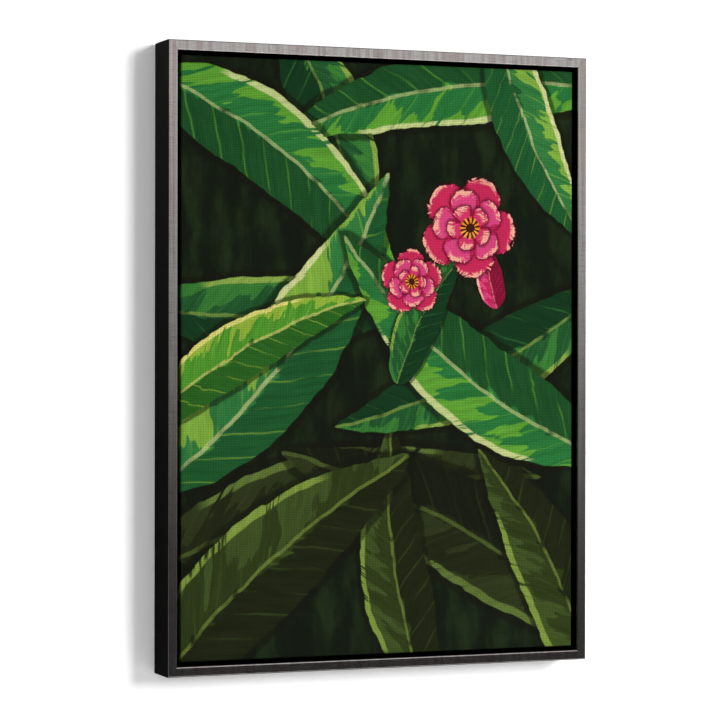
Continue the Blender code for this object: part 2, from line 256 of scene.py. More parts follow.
@dataclass(frozen=True)
class Pine:
    """Planed, unfinished pine: pale, with amber summer wood in long wavy lines."""

    grain: Grain
    pale: str = "#DEC7A0"
    amber: str = "#C39E6A"
    shade: str = "#CFB084"
    ring_mm: float = 11.25
    wander_mm: float = 25
    fibre_mm: float = 0.45
    across: tuple = (0.35, 1.0, 0.6)  # the way that the growth rings lie in the bar

    def make(self) -> bpy.types.Material:
        """Builds the material: dry, so it has hardly any shine."""
        s = Surface(f"planed_pine_{self.grain.name.lower()}")
        drawn = s.add("VectorMath", s.place_mm(), self.grain.value, **TIMES)
        wander = s.add("TexNoise", drawn, 1 / self.wander_mm, 2.0, 0.5)
        bent = s.add("Math", wander, 9.0, **TIMES)
        north = s.add("VectorMath", drawn, self.across, operation="DOT_PRODUCT")
        turns = s.add("Math", north, 2 * math.pi / self.ring_mm, bent, **TIMES_PLUS)
        ring = s.add("Math", turns, operation="SINE")
        fibre = s.add("TexNoise", drawn, 1 / self.fibre_mm, 4.0, 0.7)
        late = s.add("MapRange", ring, 0.1, 1.0, **SMOOTH)
        wood = s.add("Mix", late, srgb(self.pale), srgb(self.amber), **COLOUR)
        dark = s.add("MapRange", fibre, 0.45, 0.8, **SMOOTH)
        colour = s.add("Mix", dark, wood, srgb(self.shade), **COLOUR)
        rough = s.add("MapRange", fibre, 0.2, 0.8, 0.5, 0.75)
        relief = s.add("Bump", 0.3, 0.0001, None, fibre)
        return s.done(s.add(
            "BsdfPrincipled", Base_Color=colour, Roughness=rough, Normal=relief,
            Specular_IOR_Level=0.3,
        ))


@dataclass(frozen=True)
class PlatedSteel:
    """Steel, bare or with a thin zinc coat: cool grey and faintly streaked."""

    name: str
    bright: str
    dull: str
    roughness: float
    streak_mm: float = 1.25
    drawn: tuple = (1.0, 0.3, 3.0)

    def make(self) -> bpy.types.Material:
        """Builds the material: metal that mirrors the room through fine draw marks."""
        s = Surface(self.name)
        here = s.add("VectorMath", s.place_mm(), self.drawn, **TIMES)
        patch = s.add("TexNoise", here, 1 / self.streak_mm, 3.0, 0.6)
        worn = s.add("MapRange", patch, 0.4, 0.75, **SMOOTH)
        colour = s.add("Mix", worn, srgb(self.bright), srgb(self.dull), **COLOUR)
        span = (self.roughness - 0.08, self.roughness + 0.15)
        rough = s.add("MapRange", patch, 0.3, 0.8, *span)
        marks = s.add("Bump", 0.1, 0.00002, None, patch)
        return s.done(s.add(
            "BsdfPrincipled", Base_Color=colour, Metallic=1.0, Roughness=rough, Normal=marks,
        ))


@dataclass(frozen=True)
class SoftBumper:
    """Moulded milky polyurethane: soft, and slightly dusty on its rim."""

    clean: str = "#D9D8D2"
    dusty: str = "#B9B6AC"
    dust_mm: float = 1.4

    def make(self) -> bpy.types.Material:
        """Builds the material: light sinks in a little and softens the shape."""
        s = Surface("milky_polyurethane")
        dust = s.add("TexNoise", s.place_mm(), 1 / self.dust_mm, 3.0, 0.6)
        settled = s.add("MapRange", dust, 0.4, 0.75, **SMOOTH)
        colour = s.add("Mix", settled, srgb(self.clean), srgb(self.dusty), **COLOUR)
        rough = s.add("MapRange", dust, 0.3, 0.7, 0.35, 0.55)
        return s.done(s.add(
            "BsdfPrincipled", Base_Color=colour, Roughness=rough, Subsurface_Weight=0.25,
            Subsurface_Scale=0.002,
        ))


# ------------------------------------------------------------------ the painted picture


class MotifPaint(Wiring):
    """A painted motif as a node group, which lays its paint over what is below.

    Local coordinates start at 0 on the motif's stalk or middle, and its size is 1.
    """

    push = (0.01, 0.01, 0.0)  # how far a light ridge of paint below turns the brush
    dark_edge = "#12130B"

    def __init__(self, name: str, **inputs: str) -> None:
        """Starts a group.

        Args:
            name: The group's name.
            inputs: The kind of each input that it has besides Below and Local.
        """
        super().__init__(bpy.data.node_groups.new(name, "ShaderNodeTree"))
        ports = self.tree.interface
        for key, kind in {"Below": "Color", "Local": "Vector", **inputs}.items():
            ports.new_socket(key, in_out="INPUT", socket_type="NodeSocket" + kind)
        ports.new_socket("Paint", in_out="OUTPUT", socket_type="NodeSocketColor")
        self.given = self.tree.nodes.new("NodeGroupInput").outputs
        below, local = self.given["Below"], self.given["Local"]
        self.here = self.add("VectorMath", below, self.push, local, **TIMES_PLUS)

    def done(self, paint: Socket) -> bpy.types.NodeTree:
        """Ends the group in that paint."""
        self.tree.links.new(paint, self.tree.nodes.new("NodeGroupOutput").inputs["Paint"])
        return self.tree


class LeafPaint(MotifPaint):
    """A long leaf: two flat halves, a midrib, side veins and a pale dry edge.

    Its lengths are shares of the leaf's length. u runs from stalk to tip.
    """

    ragged = 0.02
    paint_edge = (-0.0012, 0.0022)
    contour = (-0.024, -0.014)
    contour_strength = 0.7
    rib_edge = (0.0035, 0.0065)
    vein_pitch = 70.0

    def __init__(self) -> None:
        """Starts the group and finds the place on the leaf."""
        floats = dict.fromkeys(("Width", "Bend", "Seed"), "Float")
        colours = dict.fromkeys(("Shade", "Body", "Light", "Rim"), "Color")
        super().__init__("painted_leaf", **floats, **colours)
        self.u, v, _ = self.add("SeparateXYZ", self.here).node.outputs
        self.along = self.add("Clamp", self.u)
        self.rest = self.add("Math", 1.0, self.along, **MINUS)
        arch = self.add("Math", self.add("Math", self.along, self.rest, **TIMES), 4.0, **TIMES)
        spine = self.add("Math", arch, self.given["Bend"], **TIMES)
        self.across = self.add("Math", v, spine, **MINUS)
        self.away = self.add("Math", self.across, **SIZE)
        self.swept = self.add("Math", self.u, self.away, **MINUS)
        self.dabs, self.bristle = self.brush_marks()

    def brush_marks(self) -> tuple[Socket, Socket]:
        """Broad dabs and fine bristle lines, both swept back from the midrib."""
        seed = self.add("CombineXYZ", *(self.given["Seed"],) * 3)
        sweep = self.add("CombineXYZ", self.swept, self.across, 0.0)
        brush = self.add("VectorMath", sweep, (7, 3.2, 1), seed, **TIMES_PLUS)
        dabs = self.add("TexNoise", brush, 2.2, 2.5, 0.55)
        hair = self.add("VectorMath", sweep, (60, 9, 1), seed, **TIMES_PLUS)
        return dabs, self.add("TexNoise", hair, 1.0, 2.0, 0.6)

    def half_breadth(self) -> Socket:
        """Half the leaf's breadth: it swells near the stalk and ends in a point."""
        swell = self.add("Math", self.along, 0.55, operation="POWER")
        taper = self.add("Math", self.rest, 0.85, operation="POWER")
        breadth = self.add("Math", self.add("Math", swell, taper, **TIMES), 1.95, **TIMES)
        return self.add("Math", breadth, self.given["Width"], **TIMES)

    def outline(self, edge: Socket) -> Socket:
        """How far inside the leaf's brushed outline a place is."""
        past = self.add("Math", self.add("Math", self.u, self.along, **MINUS), **SIZE)
        reach = self.add("Math", edge, self.add("Math", self.away, past, **PLUS), **MINUS)
        uneven = self.add("Math", self.dabs, 0.5, **MINUS)
        return self.add("Math", uneven, self.ragged, reach, **TIMES_PLUS)

    def halves(self, share: Socket) -> Socket:
        """One half lit, one in shade, with brighter dabs on the lit half.

        Args:
            share: The way from the midrib to the edge, from -1 to 1.

        Returns:
            The paint.
        """
        offset = self.add("Math", self.dabs, 0.9, share, **TIMES_PLUS)
        lit = self.add("MapRange", offset, 0.4, 0.46, **SMOOTH)
        outer = self.add("Math", share, 0.25, **TIMES)
        brighter = self.add("Math", self.dabs, outer, **PLUS)
        bright = self.add("MapRange", brighter, 0.62, 0.65, **SMOOTH)
        patch = self.add("Math", bright, lit, **TIMES)
        paint = self.add("Mix", lit, self.given["Shade"], self.given["Body"], **COLOUR)
        return self.add("Mix", patch, paint, self.given["Light"], **COLOUR)

    def veins(self, paint: Socket) -> Socket:
        """Adds the side veins and the midrib, each a thin brushed line."""
        rib = self.add("MapRange", self.away, *self.rib_edge, 1.0, 0.0, **SMOOTH)
        swing = self.add("Math", self.swept, self.vein_pitch, **TIMES)
        wave = self.add("Math", swing, operation="SINE")
        vein = self.add("MapRange", wave, 0.93, 1.0, **SMOOTH)
        loaded = self.add("MapRange", self.bristle, 0.35, 0.6, **SMOOTH)
        faint = self.add("Math", self.add("Math", vein, loaded, **TIMES), 0.4, **TIMES)
        paint = self.add("Mix", faint, paint, self.given["Light"], **COLOUR)
        pressed = self.add("MapRange", self.dabs, 0.3, 0.5, **SMOOTH)
        broken = self.add("Math", self.add("Math", rib, pressed, **TIMES), 0.5, **TIMES)
        return self.add("Mix", broken, paint, self.given["Rim"], **COLOUR)

    def pale_edge(self, paint: Socket, share: Socket) -> Socket:
        """Adds a pale dry stroke along part of the lit edge."""
        near = self.add("MapRange", share, 0.83, 0.87, **SMOOTH)
        starts = self.add("MapRange", self.u, 0.16, 0.2, **SMOOTH)
        ends = self.add("MapRange", self.rest, 0.22, 0.27, **SMOOTH)
        stretch = self.add("Math", starts, ends, **TIMES)
        load = self.add("Math", self.bristle, self.dabs, **PLUS)
        dry = self.add("MapRange", load, 0.78, 0.9, **SMOOTH)
        stroke = self.add("Math", self.add("Math", near, stretch, **TIMES), dry, **TIMES)
        return self.add("Mix", stroke, paint, self.given["Rim"], **COLOUR)

    def make(self) -> bpy.types.NodeTree:
        """Builds the group."""
        edge = self.half_breadth()
        reach = self.outline(edge)
        inside = self.add("MapRange", reach, *self.paint_edge, **SMOOTH)
        under = self.add("MapRange", reach, *self.contour, **SMOOTH)
        share = self.add(
            "Math", self.across, self.add("Math", edge, 0.01, **LARGER), operation="DIVIDE"
        )
        paint = self.pale_edge(self.veins(self.halves(share)), share)
        streak = self.add("MapRange", self.bristle, 0.3, 0.7, 0.82, 1.14)
        paint = self.add("Mix", 1.0, paint, self.add("CombineColor", *(streak,) * 3), **TINTED)
        strength = self.add("Math", under, self.contour_strength, **TIMES)
        gap = self.add("Mix", strength, self.given["Below"], srgb(self.dark_edge), **COLOUR)
        return self.done(self.add("Mix", inside, gap, paint, **COLOUR))


@dataclass(frozen=True)
class PetalRing:
    """One of a blossom's rings: its turn, its size, its hem's width and its tones."""

    twist: float
    size: float
    hem: float
    shade: str
    body: str


class BlossomPaint(MotifPaint):
    """A round blossom: rings of five petals with pale hems about a gold middle."""

    shadow = "#2A0A12"
    hem = "#E6A08C"
    heart = "#3A1A10"
    gold = ("#D9761C", "#EDA33A")
    heart_edge = (0.2, 0.23)
    rings = (
        PetalRing(0.0, 1.0, 0.10, "#8E1A38", "#B8264F"),
        PetalRing(math.pi / 5, 0.74, 0.13, "#A61F49", "#C93F72"),
        PetalRing(0.35, 0.46, 0.16, "#8A1430", "#C2305F"),
    )

    def __init__(self) -> None:
        """Starts the group and finds the place on the blossom."""
        super().__init__("painted_blossom", Seed="Float")
        x, y, _ = self.add("SeparateXYZ", self.here).node.outputs
        flat = self.add("CombineXYZ", x, y, 0.0)
        self.radius = self.add("VectorMath", flat, operation="LENGTH")
        self.angle = self.add("Math", y, x, operation="ARCTAN2")
        seed = self.given["Seed"]
        moved = self.add("VectorMath", self.here, self.add("CombineXYZ", seed, 0.0, 0.0), **PLUS)
        self.noise = self.add("TexNoise", moved, 4.5, 3.0, 0.6)
        spread = self.add("Math", self.angle, 6.0, **TIMES)
        fan = self.add("CombineXYZ", spread, self.radius, seed)
        self.bristle = self.add("TexNoise", fan, 1.6, 2.0, 0.6)

    def petals(self, paint: Socket, ring: PetalRing) -> Socket:
        """Lays one ring of five petals, with a shadow round it.

        Args:
            paint: What is below.
            ring: The ring.

        Returns:
            The paint with the ring on it.
        """
        turn = self.add("Math", self.angle, 2.5, 2.5 * ring.twist, **TIMES_PLUS)
        lobe = self.add("Math", self.add("Math", turn, operation="COSINE"), **SIZE)
        full = self.add("Math", lobe, 0.45, operation="POWER")
        outline = self.add("Math", full, 0.36 * ring.size, 0.62 * ring.size, **TIMES_PLUS)
        uneven = self.add("Math", self.noise, 0.22 * ring.size, outline, **TIMES_PLUS)
        out = self.add("Math", self.radius, 0.1 * ring.size, **PLUS)
        reach = self.add("Math", uneven, out, **MINUS)
        inside = self.add("MapRange", reach, -0.004, 0.01, **SMOOTH)
        near = self.add("MapRange", reach, -0.09, 0.0, **SMOOTH)
        shade = self.add("Math", near, 0.75, **TIMES)
        paint = self.add("Mix", shade, paint, srgb(self.shadow), **COLOUR)
        mixed = self.add("Math", self.add("Math", lobe, self.noise, **PLUS), self.bristle, **PLUS)
        lit = self.add("MapRange", mixed, 1.25, 1.4, **SMOOTH)
        petal = self.add("Mix", lit, srgb(ring.shade), srgb(ring.body), **COLOUR)
        hem = self.add("MapRange", reach, ring.hem * 0.6, ring.hem, 1.0, 0.0, **SMOOTH)
        middle = self.add("Math", lobe, 0.3, **TIMES)
        broken = self.add("Math", self.noise, middle, **PLUS)
        part = self.add("MapRange", broken, 0.72, 0.76, **SMOOTH)
        pale = self.add("Math", hem, part, **TIMES)
        petal = self.add("Mix", pale, petal, srgb(self.hem), **COLOUR)
        return self.add("Mix", inside, paint, petal, **COLOUR)

    def middle(self, paint: Socket) -> Socket:
        """Lays the dark heart and the gold threads round it."""
        heart = self.add("MapRange", self.radius, *self.heart_edge, 1.0, 0.0, **SMOOTH)
        paint = self.add("Mix", heart, paint, srgb(self.heart), **COLOUR)
        turns = self.add("Math", self.angle, 12.0, **TIMES)
        spokes = self.add("Math", turns, operation="SINE")
        wavy = self.add("Math", self.noise, 0.8, spokes, **TIMES_PLUS)
        ray = self.add("MapRange", wavy, 0.35, 0.5, **SMOOTH)
        outside = self.add("MapRange", self.radius, 0.09, 0.11, **SMOOTH)
        within = self.add("MapRange", self.radius, 0.2, 0.24, 1.0, 0.0)
        ring = self.add("Math", outside, within, **TIMES)
        load = self.add("MapRange", self.bristle, 0.4, 0.6, **SMOOTH)
        gold = self.add("Mix", load, *(srgb(code) for code in self.gold), **COLOUR)
        return self.add("Mix", self.add("Math", ring, ray, **TIMES), paint, gold, **COLOUR)

    def make(self) -> bpy.types.NodeTree:
        """Builds the group."""
        paint = self.given["Below"]
        for ring in self.rings:
            paint = self.petals(paint, ring)
        return self.done(self.middle(paint))


class Tone(Enum):
    """Paint mixes for a leaf: shade, body, light and rim."""

    BRIGHT = ("#1B4722", "#266A33", "#56922F", "#B2BC7C")
    FRESH = ("#1C5028", "#2E7038", "#76A03A", "#BEC485")
    DEEP = ("#13331B", "#205029", "#34702F", "#7F9A44")
    OLIVE = ("#1B200F", "#2B3616", "#3A4A20", "#74893A")
    DUSK = ("#14180D", "#1F2411", "#2A3318", "#56692F")
    LIME = ("#275A1E", "#4A8A2A", "#87A838", "#CCC66E")
    ROSE = ("#7A1230", "#B02350", "#C93F72", "#E8A493")


@dataclass(frozen=True)
class Leaf:
    """One painted leaf. x, z and length are in millimetres from the picture's middle."""

    x: float
    z: float
    turn: float  # degrees from the right, anticlockwise
    length: float
    width: float  # half its breadth, as a share of its length
    bend: float
    tone: Tone


@dataclass(frozen=True)
class Blossom:
    """One painted blossom: its middle and radius in millimetres, and its turn."""

    x: float
    z: float
    radius: float
    turn: float


# --------------------------------------------------------------- finishes of the cloth

CLOTH_UV = "cloth"


@dataclass(frozen=True)
class Weave:
    """Plain-woven cotton canvas: warp and weft pass over each other in turn.

    The real thread is about 0.6 mm; it is drawn coarser so that the weave shows.
    """

    thread_mm: float = 2.0

    def height(self, s: Surface, flat_mm: Socket) -> Socket:
        """The weave's relief from 0 to 1 at a place on the flat cloth."""
        waves = []
        for along in s.add("SeparateXYZ", flat_mm).node.outputs[:2]:
            turn = s.add("Math", along, math.pi / self.thread_mm, **TIMES)
            waves.append(s.add("Math", turn, operation="SINE"))
        over = s.add("Math", *waves, **TIMES)
        warp, weft = (s.add("Math", wave, **SIZE) for wave in waves)
        which = s.add("MapRange", over, -0.15, 0.15, **SMOOTH)
        return s.add("Mix", which, warp, weft, **NUMBER)


@dataclass(frozen=True)
class PrintedCanvas:
    """Primed cotton canvas with a matt print of a painted leaf and blossom study.

    The motif is a generic one: long pointed leaves over dark ground, with two round
    blossoms. Paint lies flat with brushed edges, and the weave shows through it.
    """

    ground: str = "#10170E"
    ground_light: str = "#1E2A16"
    leaves: tuple[Leaf, ...] = (
        Leaf(-300, -250, 12, 520, 0.15, 0.06, Tone.DUSK),
        Leaf(290, -330, 152, 470, 0.17, -0.05, Tone.DUSK),
        Leaf(60, -400, 98, 330, 0.17, 0.07, Tone.OLIVE),
        Leaf(-290, 60, 8, 400, 0.15, -0.08, Tone.DEEP),
        Leaf(285, 80, 205, 380, 0.16, 0.06, Tone.DEEP),
        Leaf(-120, 400, -72, 330, 0.18, 0.05, Tone.DEEP),
        Leaf(290, 330, 190, 430, 0.14, -0.07, Tone.BRIGHT),
        Leaf(-290, 330, -38, 400, 0.17, 0.08, Tone.BRIGHT),
        Leaf(-280, -150, 52, 470, 0.16, -0.07, Tone.FRESH),
        Leaf(290, -120, 142, 430, 0.17, 0.08, Tone.BRIGHT),
        Leaf(-285, -70, 28, 300, 0.15, 0.07, Tone.LIME),
        Leaf(150, 410, -66, 300, 0.17, -0.06, Tone.FRESH),
        Leaf(-290, -390, 40, 430, 0.19, 0.05, Tone.OLIVE),
        Leaf(280, -400, 118, 330, 0.2, -0.06, Tone.OLIVE),
        Leaf(20, -30, 62, 175, 0.2, 0.06, Tone.DEEP),
        Leaf(150, 60, 100, 80, 0.3, 0.05, Tone.ROSE),
    )
    blossoms: tuple[Blossom, ...] = (Blossom(38, 92, 40, 20), Blossom(112, 158, 62, -8))
    weave: Weave = Weave()
    hand_mm: float = 45  # how far apart the hand's wobbles are
    wobble_mm: float = 5.0
    scrub_mm: float = 28
    slub_mm: float = 1.6
    wash_mm: float = 60

    def make(self) -> bpy.types.Material:
        """Builds the material: matt ink, so only the weave catches a little light."""
        s = Surface("printed_cotton_canvas")
        flat = s.cloth_mm()
        hand = s.add("TexNoise", flat, 1 / self.hand_mm, 2.0, 0.5, out=1)
        shift = s.add("VectorMath", hand, (0.5, 0.5, 0.5), **MINUS)
        slip = s.add("VectorMath", shift, operation="SCALE", Scale=2 * self.wobble_mm)
        sketch = s.add("VectorMath", flat, slip, **PLUS)
        paint = self.painted_ground(s, sketch)
        leaf, blossom = LeafPaint().make(), BlossomPaint().make()
        for number, one in enumerate(self.leaves):
            local = self.local(s, sketch, one, one.length)
            tones = [srgb(code) for code in one.tone.value]
            shape = (one.width, one.bend, float(number))
            paint = s.add("Group", paint, local, *shape, *tones, node_tree=leaf)
        for one in self.blossoms:
            local = self.local(s, sketch, one, one.radius)
            paint = s.add("Group", paint, local, one.turn, node_tree=blossom)
        return self.on_cloth(s, flat, paint)

    def local(self, s: Surface, sketch: Socket, motif: Leaf | Blossom, size: float) -> Socket:
        """A motif's own coordinates.

        Args:
            s: The material.
            sketch: The place on the cloth, with the hand's wobble.
            motif: The motif.
            size: The length that becomes 1.

        Returns:
            The local place.
        """
        place = (motif.x, motif.z, 0)
        spin = (0, 0, math.radians(motif.turn))
        return s.add("Mapping", sketch, place, spin, (size, size, 1), vector_type="TEXTURE")

    def painted_ground(self, s: Surface, sketch: Socket) -> Socket:
        """The dark ground, scrubbed in with a broad brush."""
        scrub = s.add("VectorMath", sketch, (1, 0.3, 1), **TIMES)
        strokes = s.add("TexNoise", scrub, 1 / self.scrub_mm, 3.0, 0.6)
        thin = s.add("MapRange", strokes, 0.42, 0.72, **SMOOTH)
        return s.add("Mix", thin, srgb(self.ground), srgb(self.ground_light), **COLOUR)

    def on_cloth(self, s: Surface, flat: Socket, paint: Socket) -> bpy.types.Material:
        """Lays the paint on the weave, with painted shade in its hollows that also dims the ink
        overall.

        Args:
            s: The material.
            flat: The place on the cloth.
            paint: The paint's colour.

        Returns:
            The material.
        """
        weave = self.weave.height(s, flat)
        slub = s.add("TexNoise", flat, 1 / self.slub_mm, 3.0, 0.7)
        wash = s.add("TexNoise", flat, 1 / self.wash_mm, 3.0, 0.6)
        # Painted shade: the weave's hollows darken the paint, and the range below 1 also dims the
        # ink overall.
        painted_weave_shade = s.add("MapRange", weave, 0.0, 1.0, 0.3, 1.12)
        speck = s.add("MapRange", slub, 0.25, 0.75, 0.8, 1.2)
        fade = s.add("MapRange", wash, 0.3, 0.7, 0.92, 1.06)
        # The painted weave shade, times random slub and wash tones.
        light = s.add("Math", s.add("Math", painted_weave_shade, speck, **TIMES), fade, **TIMES)
        colour = s.add("Mix", 1.0, paint, s.add("CombineColor", *(light,) * 3), **TINTED)
        rough = s.add("MapRange", slub, 0.2, 0.8, 0.62, 0.8)
        relief = s.add("Bump", 0.5, 0.00015, None, s.add("Math", weave, slub, **PLUS))
        return s.done(s.add(
            "BsdfPrincipled", Base_Color=colour, Roughness=rough, Normal=relief,
            Specular_IOR_Level=0.05,
        ))


@dataclass(frozen=True)
class RawCanvas:
    """The unprinted back of cotton canvas: cream and fibrous, with painted shade in weave
    hollows.
    """

    cream: str = "#D8CDB4"
    shadow: str = "#A3977C"
    weave: Weave = Weave()
    slub_mm: float = 2.5

    def make(self) -> bpy.types.Material:
        """Builds the material: dry fibres with a faint fuzz that lightens its edges."""
        s = Surface("raw_cotton_canvas")
        flat = s.cloth_mm()
        weave = self.weave.height(s, flat)
        slub = s.add("TexNoise", flat, 1 / self.slub_mm, 3.0, 0.7)
        # Painted shade in the weave's hollows, varied by random slub tone, takes the darker
        # shadow colour.
        depth = s.add("Math", weave, slub, **TIMES)
        unshaded_share = s.add("MapRange", depth, 0.1, 0.55, **SMOOTH)
        colour = s.add("Mix", unshaded_share, srgb(self.shadow), srgb(self.cream), **COLOUR)
        relief = s.add("Bump", 0.5, 0.00015, None, s.add("Math", weave, slub, **PLUS))
        return s.done(s.add(
            "BsdfPrincipled", Base_Color=colour, Roughness=0.9, Normal=relief,
            Specular_IOR_Level=0.1, Sheen_Weight=0.15,
        ))


# ------------------------------------------------------------------------ sub-assemblies


def node(name: str) -> bpy.types.Object:
    """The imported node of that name."""
    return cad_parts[name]


def dress(thing: bpy.types.Object, *materials: bpy.types.Material) -> None:
    """Gives an object these materials in its own slots.

    Args:
        thing: The object.
        materials: One material for each slot.
    """
    while len(thing.material_slots) < len(materials):
        thing.data.materials.append(None)
    for slot, material in zip(thing.material_slots, materials):
        slot.link = "OBJECT"
        slot.material = material


def show(name: str, data: bpy.types.ID) -> bpy.types.Object:
    """Puts a mesh, curve, lamp or camera in the scene under that name."""
    thing = bpy.data.objects.new(name, data)
    bpy.context.scene.collection.objects.link(thing)
    return thing


@dataclass
class FloaterFrame:
    """The four mitred rails and the bent nails across their corners."""

    low: Vector = field(init=False)
    high: Vector = field(init=False)

    def __post_init__(self) -> None:
        """Measures the frame."""
        boxes = [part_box(f"frame_rail_{side}") for side in SIDES]
        self.low = Vector([min(low[axis] for low, _ in boxes) for axis in range(3)])
        self.high = Vector([max(high[axis] for _, high in boxes) for axis in range(3)])

    def dress(self) -> None:
        """Gives the rails and nails their finishes."""
        half = (self.high - self.low) / 2
        moulding = GunmetalMoulding(self.low + half, half.x, half.z, self.low.y).make()
        for side in SIDES:
            dress(node(f"frame_rail_{side}"), moulding)
        steel = PlatedSteel("drawn_steel_strip", "#A7A9AB", "#77797C", 0.35).make()
        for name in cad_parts:
            if name.startswith("corner_nail"):
                dress(node(name), steel)
        LOG.info("floater frame dressed")


@dataclass
class StretcherBars:
    """The mitred pine bars and the brace between them."""

    def dress(self) -> None:
        """Gives each bar pine with the grain along its length."""
        level, upright = Pine(Grain.LEVEL).make(), Pine(Grain.UPRIGHT).make()
        for side in SIDES:
            dress(node(f"stretcher_bar_{side}"), level if side in ("top", "bottom") else upright)
        dress(node("cross_brace"), level)
        LOG.info("stretcher bars dressed")


@dataclass
class StretchedCanvas:
    """The printed cloth: its face, the rounded edge, the sides and the folded strip."""

    thickness: float = 0.5 * MM
    edge_radius: float = 3.2 * MM
    fold_radius: float = 1.0 * MM
    return_width: float = 24 * MM
    arc_steps: int = 6
    crease_degrees: float = 40
    low: Vector = field(init=False)
    high: Vector = field(init=False)

    def __post_init__(self) -> None:
        """Measures the space that the cloth takes."""
        self.low, self.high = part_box("canvas")

    @property
    def middle(self) -> Vector:
        """The middle of the cloth's space."""
        return (self.low + self.high) / 2

    @property
    def half(self) -> Vector:
        """Half the size of the cloth's space."""
        return (self.high - self.low) / 2

    def section(self) -> list[tuple[float, float, float]]:
        """The cloth's course over an edge, from the face to the end of the strip.

        Returns:
            Points as inset from the side, depth behind the face, and way along the
            cloth.
        """
        depth = self.high.y - self.low.y
        arcs = (
            (self.edge_radius, 0.0, self.edge_radius),
            (self.fold_radius, math.pi / 2, depth - self.fold_radius),
        )
        course = []
        for radius, start, middle in arcs:
            for step in range(self.arc_steps + 1):
                angle = start + math.pi / 2 * step / self.arc_steps
                inset = radius - radius * math.sin(angle)
                course.append((inset, middle - radius * math.cos(angle)))
        course.append((self.return_width, depth))
        ways = [0.0]
        for before, after in zip(course, course[1:]):
            ways.append(ways[-1] + math.dist(before, after))
        return [(*point, way) for point, way in zip(course, ways)]

    def skin(self) -> bpy.types.Mesh:
        """The cloth's outer skin, with its flat layout as a UV map.

        Each ring of four corners lies one step further along the cloth. A place on a
        side keeps its way along the edge and goes outwards by its way over the edge.
        """
        shape = bmesh.new()
        layout = shape.loops.layers.uv.new(CLOTH_UV)
        middle, half = self.middle, self.half
        rings, ways = [], {}
        for inset, back, way in self.section():
            ring = []
            for sign_x, sign_z in ((1, 1), (1, -1), (-1, -1), (-1, 1)):
                x, z = sign_x * (half.x - inset), sign_z * (half.z - inset)
                ring.append(shape.verts.new((middle.x + x, self.low.y + back, middle.z + z)))
                ways[ring[-1]] = way - self.edge_radius
            rings.append(ring)
        sides = {shape.faces.new(rings[0]): None}
        for outer, inner in zip(rings, rings[1:]):
            for corner in range(4):
                after = (corner + 1) % 4
                quad = (outer[corner], outer[after], inner[after], inner[corner])
                sides[shape.faces.new(quad)] = corner
        for face, side in sides.items():
            for loop in face.loops:
                x, z = loop.vert.co.x - middle.x, loop.vert.co.z - middle.z
                if side in (0, 2):
                    x = math.copysign(half.x + ways[loop.vert], x)
                elif side in (1, 3):
                    z = math.copysign(half.z + ways[loop.vert], z)
                loop[layout].uv = (x, z)
        bmesh.ops.recalc_face_normals(shape, faces=shape.faces)
        mesh = bpy.data.meshes.new("canvas_sheet")
        shape.to_mesh(mesh)
        shape.free()
        mesh.polygons.foreach_set("use_smooth", [True] * len(mesh.polygons))
        mesh.set_sharp_from_angle(angle=math.radians(self.crease_degrees))
        return mesh

    def build(self) -> None:
        """Builds the cloth: printed outside, raw inside."""
        cloth = show("canvas_sheet", self.skin())
        dress(cloth, PrintedCanvas().make(), RawCanvas().make())
        inside = cloth.modifiers.new("thickness", "SOLIDIFY")
        inside.thickness = self.thickness
        inside.offset = -1
        inside.use_even_offset = True
        inside.material_offset = 1
        inside.material_offset_rim = 1
        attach(cloth, BODY)
        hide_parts("canvas")


